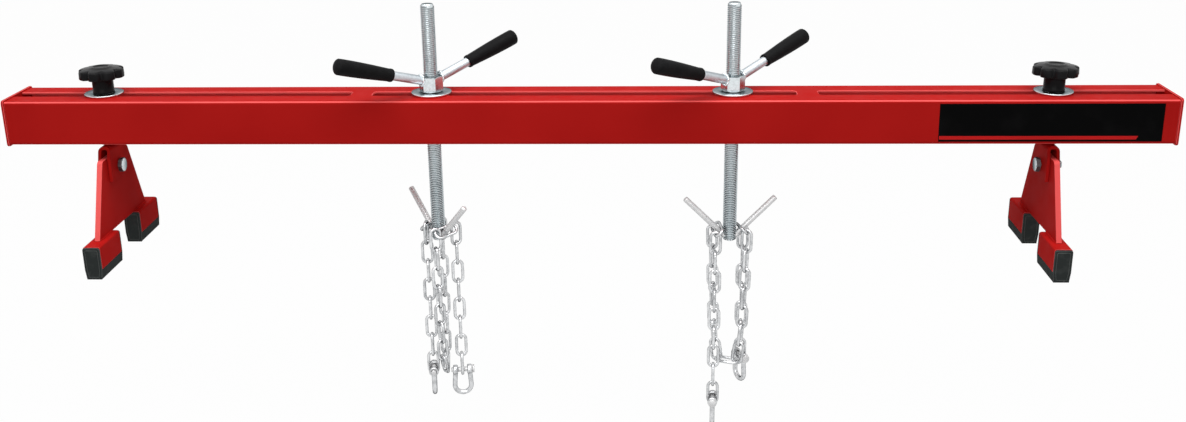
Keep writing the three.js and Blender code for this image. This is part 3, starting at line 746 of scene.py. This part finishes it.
def makeBracket(side, x, s):
    width = s["inside"] + 2 * s["sheet"]
    rise = s["crownTop"] - s["lowerEdge"]
    outline = channelOutline(width, rise, s["sheet"], s["bend"], steps=8)
    bm = prism(outline, -s["skirtHalf"], s["skirtHalf"], "Y")
    low, high = Vector((s["skirtHalf"], s["skirt"])), Vector((s["crownHalf"], rise))
    overrun = (high - low) / 10
    out = Vector((s["skirtHalf"], 0))
    wedge = low - overrun, high + overrun, high + overrun + out, low - overrun + out
    cutters = [   # the ends lean in above the upright part
        prism([(sign * point.x, point.y) for point in wedge], -width, width, "X") for sign in (-1, 1)]
    hole = s["bolt"] + gap
    across = shift(0, 0, s["pivotHeight"] - s["lowerEdge"]) @ turned(90, "Y")
    cutters.append(place(cylinder(hole, -width, width, sides=32), across))
    hole = s["stud"] + gap
    cutters.append(cylinder(hole, rise / 2, rise * 1.2, sides=32))
    bracket = chamferEdges(carved(bm, *cutters), s["bracketEdge"], above=40)
    place(bracket, shift(x, 0, s["lowerEdge"]))
    painted(side + "Bracket", bracket, side + "_foot_bracket", side + "_bracket")
    spacer = lathe(ringProfile(hole, s["spacer"], *heights(side + "_spacer")), sides=64)
    painted(side + "Spacer", place(spacer, shift(x, 0, 0)), side + "_foot_bracket", side + "_spacer")


weldSettings = {
    "step": 0.0005, "ripple": 0.0013, "rippleShare": 0.05, "unevenShare": 0.03, "unevenRate": 911,
    "least": 0.25,   # share of the radius at the ends
}


def weldBead(start, end, radius, s):
    length = (end - start).length
    steps = max(8, int(length / s["step"]))
    points, radii = [], []
    for k in range(steps + 1):
        along = length * k / steps
        closing = max(min(1, along / radius, (length - along) / radius), 0)
        wave = 1 + s["rippleShare"] * sin(2 * pi * along / s["ripple"])
        wave += s["unevenShare"] * sin(along * s["unevenRate"])
        points.append(start.lerp(end, k / steps))
        radii.append(radius * wave * max(s["least"], sqrt(closing)))
    return sweep(points, radii, sides=10)


def padPlug(s):
    half, foot, edge = s["shoeWidth"] / 2, s["soleWidth"] / 2, s["soleEdge"]
    inner = half - s["shoeSheet"] - gap
    top = s["sole"] + s["shoeHeight"] - s["shoeSheet"] - gap
    shoulder = s["sole"] - gap
    right = [
        (foot - edge, 0), (foot - edge * 0.25, edge * 0.3), (foot + s["soleFlare"], edge), (half, shoulder),
        (inner, shoulder), (inner, top)]
    return right + [(-u, v) for u, v in reversed(right)]


def padFace(s, inset=0):
    half = s["shoeWidth"] / 2 - inset
    foot = s["soleWidth"] / 2 - inset
    top = s["sole"] + s["shoeHeight"] - s["capReveal"] - inset
    bend = s["shoeBend"] - inset / 2
    shoulder = s["sole"] - gap
    return ([(-foot, inset), (foot, inset), (half, shoulder)]
            + arc((half - bend, top - bend), bend, 0, quarter, 6)
            + arc((bend - half, top - bend), bend, quarter, 2 * quarter, 6)
            + [(-half, shoulder)])


def makePad(s, near, far):
    cap, ridge = s["cap"], s["ridge"]
    out = ridge * s["ridgeOut"]
    pad = chamferEdges(prism(padPlug(s), near + cap / 2, far - cap / 2, "Y"), s["shoeEdge"])
    # the caps' chamfers carry the painted highlight
    for start, end in ((near + out, near + cap), (far - cap, far - out)):
        merge(pad, chamferEdges(prism(padFace(s), start, end, "Y"), s["capEdge"], slot=1))
    for at in (near + ridge, far - ridge):
        path = [Vector((u, -at, v)) for u, v in padFace(s, s["ridgeInset"])]
        rim = sweep(path, [ridge] * len(path), sides=6, closed=True)
        # the rim carries the painted highlight
        for face in rim.faces:
            face.material_index = 1
        merge(pad, rim)
    return pad


def makePivot(side, x, inward, s):
    body = side + "_foot_bracket"
    along = shift(x, 0, s["pivotHeight"]) @ turned(inward * 90, "Y")
    start = s["inside"] / 2 + s["sheet"] + gap
    end = -start - s["nut"]
    bolt = s["bolt"]
    head = shadedFlats(hexBody(s["flats"], start + s["headLift"], start + s["head"]))
    collar = cylinder(s["collar"], start, start + s["collarHeight"], sides=48)
    low, high = end - s["tail"], end + s["threadLap"]
    tail = threadedRod(bolt, s["boltPitch"], low, high, s["boltThread"], sides=20, tip=s["boltTip"])
    shank = cylinder(bolt, end + s["shankLap"], start, sides=32)
    finishPiece(
        side + "PivotBolt", place(merge(head, collar, tail, shank), along), zincPlate, body,
        [side + "_pivot_bolt"], angle=35)
    nut = shadedFlats(hexBody(s["flats"], end, -start, bolt + gap))
    finishPiece(
        side + "PivotNut", place(nut, along), zincPlate, body, [side + "_pivot_nut"], angle=35)


def makeFoot(side, x, inward, s):
    makeKnob(side, x, knobSettings)
    hole = s["stud"] + gap
    makeWasher(side + "KnobWasher", side + "_knob_washer", side + "_foot_slider", x, hole, s["washer"])
    low, high = heights(side + "_stud")
    stud = threadedRod(s["stud"], s["studPitch"], low, high, s["studThread"], sides=20, tip=s["studTip"])
    place(stud, shift(x, 0, 0))
    finishPiece(side + "Stud", stud, zincPlate, side + "_foot_bracket", [side + "_stud"])
    makeBracket(side, x, s)
    makePivot(side, x, inward, s)

    body = side + "_foot"
    plate = chamferEdges(fromNode(side + "_foot_plate"), s["plateEdge"], above=50, slot=1)
    for face in plate.faces:   # its cut rim and chamfers get the lighter paint, a painted highlight
        if abs(face.normal.x) < 0.5:
            face.material_index = 1
    painted(side + "FootPlate", plate, body, side + "_foot_plate")
    near, far = s["padEnds"]
    inset = s["cap"] + gap
    outline = channelOutline(s["shoeWidth"], s["shoeHeight"], s["shoeSheet"], s["shoeBend"])
    weldHeight = s["sole"] + s["shoeHeight"] + s["weldRise"]
    for end, sign in (("front", -1), ("rear", 1)):
        low, high = sorted((-sign * near, -sign * far))   # prisms along Y are drawn toward -Y
        # its chamfers get the lighter paint, a painted highlight
        channel = chamferEdges(prism(outline, low + inset, high - inset, "Y"), s["shoeEdge"], slot=1)
        place(channel, shift(x, 0, s["sole"]))
        for flank in (-s["weldAside"], s["weldAside"]):
            start = Vector((x + flank, sign * (near + inset + s["weldStart"]), weldHeight))
            stop = Vector((x + flank, sign * s["weldEnd"], weldHeight))
            merge(channel, weldBead(start, stop, s["weld"], weldSettings))
        painted(side + end.capitalize() + "Shoe", channel, body, f"{side}_{end}_shoe")
        finishPiece(
            side + end.capitalize() + "Pad", place(makePad(s, low, high), shift(x, 0, 0)), padRubber, body,
            [f"{side}_{end}_pad"], flat=True)


for side, x, inward in (("left", -0.631, 1), ("right", 0.602, -1)):
    makeFoot(side, x, inward, footSettings)
print("feet made")

spindleSettings = {
    "radius": 0.009, "pitch": 0.0025, "threadDepth": 0.0013, "tip": 0.0015,
    "washer": 0.026, "flats": 0.027, "nutHeight": 0.020, "nutTurn": 30,
}

handleSettings = {
    "turn": 221, "tilt": 17.2, "radius": 0.006, "insideGrip": 0.058, "edge": 0.001,
    "axisHeight": 0.0156,    # above the beam's top
    "lift": 0.0008,          # of the bar's end from the nut's face
    "weld": 0.0017, "weldOut": 0.0004, "weldReach": 0.001, "weldLean": 0.9,
    "ripples": ((0.10, 2.1), (0.06, 0.77)),
    "gripStart": 0.060, "gripLength": 0.082, "gripNear": 0.0083, "gripFar": 0.0104, "gripRim": 0.0086,
    "mouthInside": ((0.0003, 0.004), (0.0003, 0.0006), (0.0009, 0)),   # out, along the grip
    "mouthRim": ((-0.0012, 0), (-0.0003, 0.0004), (0, 0.0012), (0, 0.0038), (-0.0003, 0.0046)),
    "taperStart": 0.0052, "straightEnds": 0.016, "taperSteps": 8, "domeSteps": 10, "gripSides": 64,
}


def gripOutline(s):
    start, near, far = s["gripStart"], s["gripNear"], s["gripFar"]
    end = start + s["gripLength"]
    points = [(s["radius"] + out, start + along) for out, along in s["mouthInside"]]
    points += [(s["gripRim"] + out, start + along) for out, along in s["mouthRim"]]
    for k in range(s["taperSteps"] + 1):
        share = k / s["taperSteps"]
        along = start + s["taperStart"] + (s["gripLength"] - s["straightEnds"]) * share
        points.append((near + (far - near) * sin(share * quarter), along))
    for k in range(1, s["domeSteps"]):
        angle = quarter * k / s["domeSteps"]
        points.append((far * cos(angle), end - far / 2 * (1 - sin(angle))))
    return points + [(0, end)]


def makeSpindleTop(side, x, s, h):
    node = side + "_threaded_rod"
    rod = threadedRod(s["radius"], s["pitch"], *heights(node), s["threadDepth"], sides=36, tip=s["tip"])
    finishPiece(side + "ThreadedRod", place(rod, shift(x, 0, 0)), zincPlate, side + "_rod", [node])
    hole = s["radius"] + gap
    makeWasher(side + "SpindleWasher", side + "_spindle_washer", side + "_carriage", x, hole, s["washer"])

    body = side + "_nut"
    tilt = radians(h["tilt"])
    low, turn = heights(side + "_spindle_nut")[0], radians(s["nutTurn"])
    nut = place(hexBody(s["flats"], low, low + s["nutHeight"], hole, turn), shift(x, 0, 0))
    r, end = h["radius"], h["gripStart"] + h["insideGrip"]
    sixth = pi / 3
    for name, turn in (("near", h["turn"]), ("far", h["turn"] + 180)):
        away = shift(x, 0, beamTop + h["axisHeight"]) @ turned(turn, "Z") @ turned(90 - h["tilt"], "Y")
        aside = (radians(turn - s["nutTurn"]) + sixth / 2) % sixth - sixth / 2   # from a face's middle
        face = s["flats"] / 2 / cos(aside)
        start, edge = face + h["lift"], h["edge"]
        bar = lathe([(0, start), (r, start), (r, end - edge), (r - edge, end), (0, end)], sides=40)
        lean = -r * tan(tilt) * h["weldLean"]
        reach = face / cos(tilt) + h["weldReach"]
        bead = weldRing(r + h["weldOut"], reach, lean, h["weld"], h["ripples"], count=96, sides=10)
        merge(nut, place(bead, away))
        label = side + name.capitalize()
        finishPiece(label + "Handle", place(bar, away), handleZinc, body, angle=35)
        grip = lathe(gripOutline(h), h["gripSides"])
        node = f"{side}_{name}_grip"
        finishPiece(label + "Grip", place(grip, away), gripRubber, body, [node], angle=40)
    finishPiece(side + "SpindleNut", nut, zincPlate, body, [side + "_spindle_nut"], angle=35)


pinSettings = {
    "radius": 0.0038, "length": 0.085, "tilt": 45, "start": 0.0095,
    "root": 0.0176,         # height of the point where the two axes meet
    "tip": ((0, 0.0012), (0.0003, 0.0004), (0.0010, 0)),   # inset, from the end
    "weld": 0.0014, "weldOut": 0.0002, "weldBack": 0.0008, "weldLean": 0.9, "ripples": ((0.12, 1.9),),
}


def makeHookPins(side, x, hookTurn, s):
    r, tilt = s["radius"], radians(s["tilt"])
    for name, turn in (("a", hookTurn), ("b", hookTurn + 180)):
        away = shift(x, 0, s["root"]) @ turned(turn, "Z") @ turned(s["tilt"], "Y")
        profile = [(0, s["start"]), (r, s["start"])]
        profile += [(r - inset, s["length"] - back) for inset, back in s["tip"]]
        pin = lathe(profile + [(0, s["length"])], sides=32)
        reach = spindleSettings["radius"] / sin(tilt) - s["weldBack"]
        ring = r + s["weldOut"]
        bead = weldRing(ring, reach, ring * s["weldLean"], s["weld"], s["ripples"], count=64, sides=8)
        finishPiece(
            side + "HookPin" + name.upper(), place(merge(pin, bead), away), brightBar, side + "_rod",
            [f"{side}_hook_pin_{name}"], angle=45)


linkSettings = {
    "wire": 0.004, "inside": 0.027, "innerWidth": 0.009, "bite": 0.0006, "slack": 0.0007,
    "saddleOut": 0.0162, "bendSteps": 12, "weldSwell": 1.10, "sides": 14,
}
linkBend = (linkSettings["innerWidth"] + linkSettings["wire"]) / 2
linkStraight = (linkSettings["inside"] - linkSettings["innerWidth"]) / 2
linkStep = linkSettings["inside"] + linkSettings["bite"]


def heading(turn):
    return Vector(onCircle(1, radians(turn), 0))


def linkShape(centre, t, w):
    s = linkSettings
    across = (w - t * w.dot(t)).normalized()
    points, radii = [], []
    for end in (1, -1):
        for k in range(s["bendSteps"] + 1):
            angle = pi * (k / s["bendSteps"] - 0.5)
            along = end * (linkStraight + linkBend * cos(angle))
            points.append(centre + t * along + across * (end * linkBend * sin(angle)))
            radii.append(s["wire"] / 2)
        for k in range(1, 6):   # the side that follows; the second one carries the link's weld
            points.append(centre + t * (end * linkStraight * (1 - k / 3)) + across * (end * linkBend))
            radii.append(s["wire"] / 2 * (s["weldSwell"] if end < 0 and k == 3 else 1))
    return sweep(points, radii, s["sides"], closed=True)


def chainPiece(name, links, body, node):
    finishPiece(name, merge(bmesh.new(), *links), chainSteel, body, [node])


def hangingRun(top, count, first, rest):
    centres = [top + down * (linkSettings["inside"] / 2 + k * linkStep) for k in range(count)]
    turns = [first] + [rest + 90 * k for k in range(1, count)]
    return [linkShape(centre, down, heading(turn)) for centre, turn in zip(centres, turns)]


def crossing(f, value, low, high):
    for halving in range(60):
        middle = (low + high) / 2
        if f(middle) > value:
            high = middle
        else:
            low = middle
    return (low + high) / 2


def loopSlopes(reach, rise, count):
    steepest = 64

    def slopes(grade, tilt):   # evenly loaded: the slope grows alike from link to link, about a tilt
        return [atan(grade * (k - (count - 1) / 2) + tilt) for k in range(count)]

    def tiltOf(grade):
        return crossing(
            lambda tilt: sum(linkStep * sin(a) for a in slopes(grade, tilt)), rise, -steepest, steepest)

    grade = crossing(
        lambda g: -sum(linkStep * cos(a) for a in slopes(g, tiltOf(g))), -reach, 0, steepest)
    return slopes(grade, tiltOf(grade))


def hangingLoop(start, end, count, first):
    across = end - start
    rise = across.z
    across.z = 0
    slopes = loopSlopes(across.length, rise, count)
    across.normalize()
    normal = across.cross(down)
    firstTurn = atan2(across.y, across.x) - radians(first)
    excess = -2 * firstTurn - (count - 1) * quarter
    twist = quarter + (excess - pi * round(excess / pi)) / (count - 1)
    joint = start.copy()
    links = []
    for k, slope in enumerate(slopes):
        t = across * cos(slope) - down * sin(slope)
        angle = firstTurn + k * twist
        w = normal.cross(t) * cos(angle) + normal * sin(angle)
        links.append(linkShape(joint + t * (linkStep / 2), t, w))
        joint = joint + t * linkStep
    return links


shackleSettings = {
    "wire": 0.0032, "bow": 0.0114, "drop": 0.024, "jaw": 0.013, "eye": 0.0066,
    "pin": 0.0034, "head": 0.0056, "headThickness": 0.003, "tail": 0.002, "pinEdge": 0.0006,
    "boreEdge": 0.0008,
    "bowOverlap": 8,        # degrees by which the bow passes a half circle at each end
    "eyeEdge": ((0.0012, 0), (0.0003, 0.0005), (0, 0.0014)),   # inset, from the face
}


def smoothPath(points, perSpan):
    path = []
    for k in range(len(points) - 1):
        p0, p1, p2, p3 = points[max(k - 1, 0)], points[k], points[k + 1], points[min(k + 2, len(points) - 1)]
        for j in range(perSpan):
            u = j / perSpan
            path.append(0.5 * (
                2 * p1 + (p2 - p0) * u + (2 * p0 - 5 * p1 + 4 * p2 - p3) * u ** 2
                + (3 * p1 - p0 - 3 * p2 + p3) * u ** 3))
    return path + [points[-1]]


def makeShackle(side, name, pinAxis, turn, s):
    wire, edge, top = s["wire"], s["pinEdge"], s["headThickness"]
    legX = s["jaw"] / 2 + wire
    overlap = radians(s["bowOverlap"])
    points = [Vector((-legX, 0, 0))]
    for u, v in arc((0, -s["drop"]), s["bow"], pi - overlap, 2 * pi + overlap, steps=8):
        points.append(Vector((u, 0, v)))
    path = smoothPath(points + [Vector((legX, 0, 0))], perSpan=6)
    bow = sweep(path, [wire] * len(path), sides=20, side=Vector((0, 1, 0)))
    across = turned(90, "Y")
    bore = s["pin"] + gap
    rim = [(bore, s["boreEdge"] - wire), (bore + s["boreEdge"], -wire)]
    rim += [(s["eye"] - inset, back - wire) for inset, back in s["eyeEdge"]]
    rim += [(r, -z) for r, z in reversed(rim)] + rim[:1]
    for sign in (-1, 1):
        merge(bow, place(lathe(rim, sides=40), shift(sign * legX, 0, 0) @ across))
    where = Matrix.Translation(pinAxis) @ turned(turn, "Z")
    body = f"{side}_shackle_{name}"
    label = name.upper()
    finishPiece(side + "Shackle" + label, place(bow, where), chainSteel, body, [body], angle=50)
    face = s["jaw"] / 2 + 2 * wire + 2 * gap
    end, r, head = -face - s["tail"], s["pin"], s["head"]
    pin = lathe([
        (0, end), (r - edge, end), (r, end + edge), (r, face), (head - edge, face), (head, face + edge),
        (head, face + top - edge), (head - edge, face + top), (0, face + top)], sides=32)
    finishPiece(
        side + "ShacklePin" + label, place(pin, where @ across), brightBar, body,
        [f"{side}_shackle_pin_{name}"], angle=50)


def makeChains(side, x, hookTurn, drops, loop, s):
    tilt = radians(pinSettings["tilt"])
    saddles = {}
    for name, (sign, lean, *_) in drops.items():
        lean = radians(lean)
        out = heading(hookTurn) * sign
        up = -out * sin(tilt) - down * cos(tilt)
        pinWay = out * cos(tilt) - down * sin(tilt)
        along = heading(hookTurn + 90) * (sign * cos(lean)) - pinWay * sin(lean)
        centre = Vector((x, 0, 0)) + out * s["saddleOut"] - down * (pinSettings["root"] + s["saddleOut"])
        centre = centre + up * (pinSettings["radius"] + gap - s["innerWidth"] / 2)
        saddles[sign] = centre, up, along
        chainPiece(
            side + "SaddleLink" + name.upper(), [linkShape(centre, along, up)], side + "_rod",
            f"{side}_saddle_link_{name}")

    def contact(sign, end, slide, w):   # inside of the upper bend of a link that hangs on a saddle link
        centre, up, along = saddles[sign]
        angle = radians(slide)
        wire = -cos(angle) * up - end * sin(angle) * along
        lean = abs(wire.cross(w).normalized().z)
        spot = centre + along * (end * (linkStraight + linkBend * cos(angle)))
        spot = spot - up * (linkBend * sin(angle))
        return spot + down * (s["wire"] / 2 - (s["wire"] + s["slack"]) / lean)

    for name, (sign, _, count, slide, first, rest, shackleTurn) in drops.items():
        top = contact(sign, 1, slide, heading(first))
        chainPiece(
            side + "ChainDrop" + name.upper(), hangingRun(top, count, first, rest), f"{side}_drop_{name}",
            f"{side}_chain_drop_{name}")
        pinAxis = top + down * (count * linkStep - s["bite"] - shackleSettings["pin"] - gap)
        makeShackle(side, name, pinAxis, shackleTurn, shackleSettings)
    ends = [contact(sign, -1, slide, heading(loop["first"])) for sign, slide in zip((1, -1), loop["slides"])]
    links = hangingLoop(*ends, loop["links"], loop["first"])
    chainPiece(side + "ChainLoop", links, side + "_loop", side + "_chain_loop")


# hook, saddle link's lean, links, slide round its bend, headings of first link, rest and shackle
leftDrops = {"a": (1, 0, 8, -66, 82, 98, 98), "b": (-1, -12, 8, -6, 37, 10, 10)}
leftLoop = {"links": 16, "slides": (-30, -24), "first": 20}
rightDrops = {"a": (1, 8, 9, 76, 180, 176, 266), "b": (-1, 8, 7, 76, 180, 176, 297)}
rightLoop = {"links": 15, "slides": (80, 80), "first": 156}
spindles = ("left", -0.198, 135, leftDrops, leftLoop), ("right", 0.193, 184, rightDrops, rightLoop)

for side, x, hookTurn, drops, loop in spindles:
    makeSpindleTop(side, x, spindleSettings, handleSettings)
    makeHookPins(side, x, hookTurn, pinSettings)
    makeChains(side, x, hookTurn, drops, loop, linkSettings)
print("spindles and chains made")

studioSettings = {
    "floorHeight": -0.262, "floorHalf": 9, "floorShade": 0.55, "floorRoughness": 0.8,
    "floorGlow": 0.98,    # share of the plain white that camera and mirror rays see
    "worldLight": 0.18,
    "lamps": (   # name, place, aim, width, height, watts
        ("overhead", (0, -0.55, 2.4), (0, 0, 0.1), 3.4, 1.5, 78),
        ("front", (-0.3, -3.2, 1.35), (0, 0, 0.1), 2.6, 0.9, 22.5),
    ),
}


def seenRays(tree):   # 1 for the camera's rays and for those that metal or glass sends on, 0 for light
    ray = tree.nodes.new("ShaderNodeLightPath").outputs
    mirrored = calculated(tree, "MAXIMUM", ray["Is Glossy Ray"], ray["Is Transmission Ray"])
    return calculated(tree, "MAXIMUM", ray["Is Camera Ray"], mirrored)


def makeFloor(s):
    bm = bmesh.new()
    half = s["floorHalf"]
    corners = ((-half, -half), (half, -half), (half, half), (-half, half))
    bm.faces.new([bm.verts.new((x, y, s["floorHeight"])) for x, y in corners])
    mesh = meshFrom("floor", bm)
    floor = addObject("floor", mesh)
    material, tree, shader = newMaterial("paleFloor")
    shader.inputs["Base Color"].default_value = (*[s["floorShade"]] * 3, 1)
    shader.inputs["Roughness"].default_value = s["floorRoughness"]
    glow = tree.nodes.new("ShaderNodeEmission")
    glow.inputs["Strength"].default_value = 1
    share = calculated(tree, "MULTIPLY", seenRays(tree), s["floorGlow"])
    mixedShaders(tree, share, shader, glow, "Material Output")
    mesh.materials.append(material)


def makeWorld(s):
    world = bpy.data.worlds.new("studioWorld")
    world.use_nodes = True
    scene.world = world
    tree = world.node_tree
    light, seen = tree.nodes["Background"], tree.nodes.new("ShaderNodeBackground")
    for node, strength in ((light, s["worldLight"]), (seen, 1)):
        node.inputs["Color"].default_value = (1, 1, 1, 1)
        node.inputs["Strength"].default_value = strength
    mixedShaders(tree, seenRays(tree), light, seen, "World Output")


def makeLamps(s):
    for name, spot, aim, width, height, watts in s["lamps"]:
        data = bpy.data.lights.new(name, "AREA")
        data.shape = "RECTANGLE"
        data.size, data.size_y = width, height
        data.energy = watts
        lamp = addObject(name, data)
        lamp.location = spot
        lamp.rotation_euler = (Vector(aim) - Vector(spot)).to_track_quat("-Z", "Y").to_euler()


makeFloor(studioSettings)
makeWorld(studioSettings)
makeLamps(studioSettings)
scene.view_settings.view_transform = "Standard"
print("studio made")
